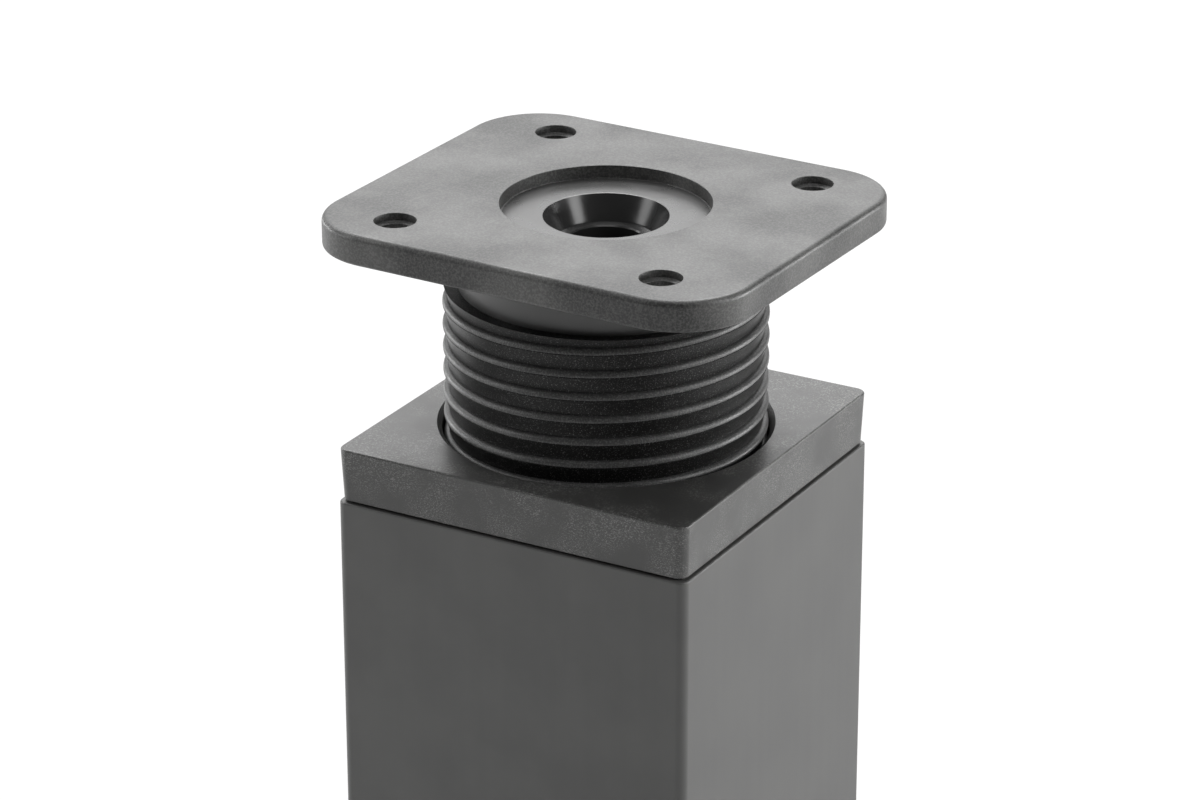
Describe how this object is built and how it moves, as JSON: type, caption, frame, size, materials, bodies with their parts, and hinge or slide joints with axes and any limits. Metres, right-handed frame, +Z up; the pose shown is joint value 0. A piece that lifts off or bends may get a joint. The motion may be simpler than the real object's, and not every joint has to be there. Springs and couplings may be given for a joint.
{
  "type": "furniture leg",
  "caption": "Square tube furniture leg with a screw-adjustable head: a rounded plate with screw holes on a hollow threaded stem that turns in a square collar.",
  "frame": {"origin": "on the floor, in the middle of the leg's square foot", "axes": "+Z up along the tube to the mounting plate, X and Y square to the tube's faces, the plate's longer side along X"},
  "size_m": [0.0722, 0.0638, 0.1301],
  "materials": {
    "tube_paint": "fine matt black powder coat on steel",
    "black_plastic": "finely grained black moulded plastic"
  },
  "bodies": {
    "leg": {"tube": "tube_paint", "insert": "black_plastic", "end_cap": "black_plastic"},
    "guide": {"guide": "black_plastic"},
    "head": {"head": "black_plastic"}
  },
  "joints": [
    {"name": "height", "type": "slide", "parent": "leg", "child": "guide", "axis": [0, 0, 1], "range_m": [-0.03, 0.005]},
    {"name": "turn", "type": "hinge", "parent": "guide", "child": "head", "pos_m": [0, 0, 0.09], "axis": [0, 0, 1], "range_deg": [-3000, 500]}
  ],
  "couplings": [
    {"joint": "height", "follows": "turn", "m_per_rad": 0.00057296}
  ]
}
